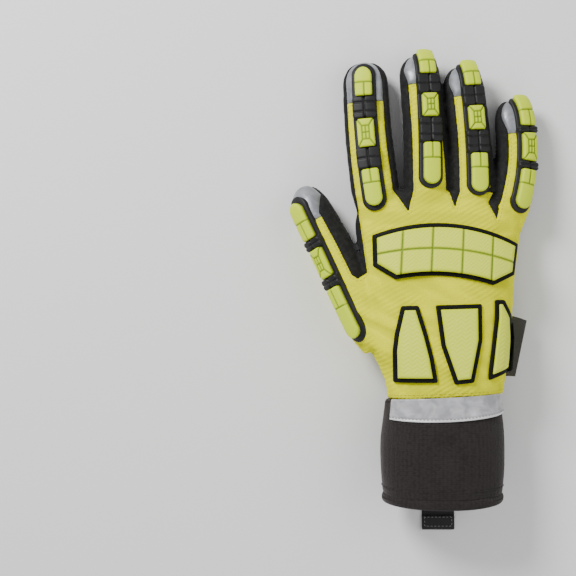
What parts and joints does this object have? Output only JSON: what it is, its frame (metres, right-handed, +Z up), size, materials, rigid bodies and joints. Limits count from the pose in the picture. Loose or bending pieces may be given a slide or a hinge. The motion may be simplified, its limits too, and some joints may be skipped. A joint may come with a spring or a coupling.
{
  "type": "impact glove",
  "caption": "Right-hand impact glove with a hi-vis fabric back, moulded rubber guards on the fingers, knuckles and hand, a black palm and a knit cuff with reflective tape.",
  "frame": {"origin": "on the flat underside of the palm, at the middle of the hand, where the glove lies on a surface", "axes": "+Z up from the palm to the back of the hand, +Y towards the fingertips, -X towards the thumb"},
  "size_m": [0.1513, 0.2948, 0.0521],
  "materials": {
    "hi_vis_fabric": "matte woven, fluorescent",
    "palm_leather": "matte synthetic leather with silicone dots",
    "black_knit": "ribbed knit and webbing",
    "reflective_tape": "reflective, satin",
    "black_rubber": "moulded, satin",
    "yellow_rubber": "moulded, satin, with grooves"
  },
  "bodies": {
    "root": {"back_panel": "hi_vis_fabric", "palm_panel": "palm_leather", "fourchette_thumb_index": "palm_leather", "fourchette_index_middle": "palm_leather", "fourchette_middle_ring": "palm_leather", "fourchette_ring_little": "palm_leather", "tip_thumb": "reflective_tape", "tip_index": "reflective_tape", "tip_middle": "reflective_tape", "tip_ring": "reflective_tape", "tip_little": "reflective_tape", "thumb_guard_base": "black_rubber", "thumb_pad_distal": "yellow_rubber", "thumb_pad_middle": "yellow_rubber", "thumb_pad_proximal": "yellow_rubber", "index_guard_base": "black_rubber", "index_pad_distal": "yellow_rubber", "index_pad_middle": "yellow_rubber", "index_pad_proximal": "yellow_rubber", "middle_guard_base": "black_rubber", "middle_pad_distal": "yellow_rubber", "middle_pad_middle": "yellow_rubber", "middle_pad_proximal": "yellow_rubber", "ring_guard_base": "black_rubber", "ring_pad_distal": "yellow_rubber", "ring_pad_middle": "yellow_rubber", "ring_pad_proximal": "yellow_rubber", "little_guard_base": "black_rubber", "little_pad_distal": "yellow_rubber", "little_pad_middle": "yellow_rubber", "little_pad_proximal": "yellow_rubber", "knuckle_frame": "black_rubber", "knuckle_pad": "yellow_rubber", "back_frame_index": "black_rubber", "back_pad_index": "yellow_rubber", "back_frame_middle": "black_rubber", "back_pad_middle": "yellow_rubber", "back_frame_little": "black_rubber", "back_pad_little": "yellow_rubber", "cuff": "black_knit", "cuff_hem": "black_knit", "wrist_band": "reflective_tape", "pull_tab": "black_knit", "side_label": "black_knit"}
  },
  "joints": []
}
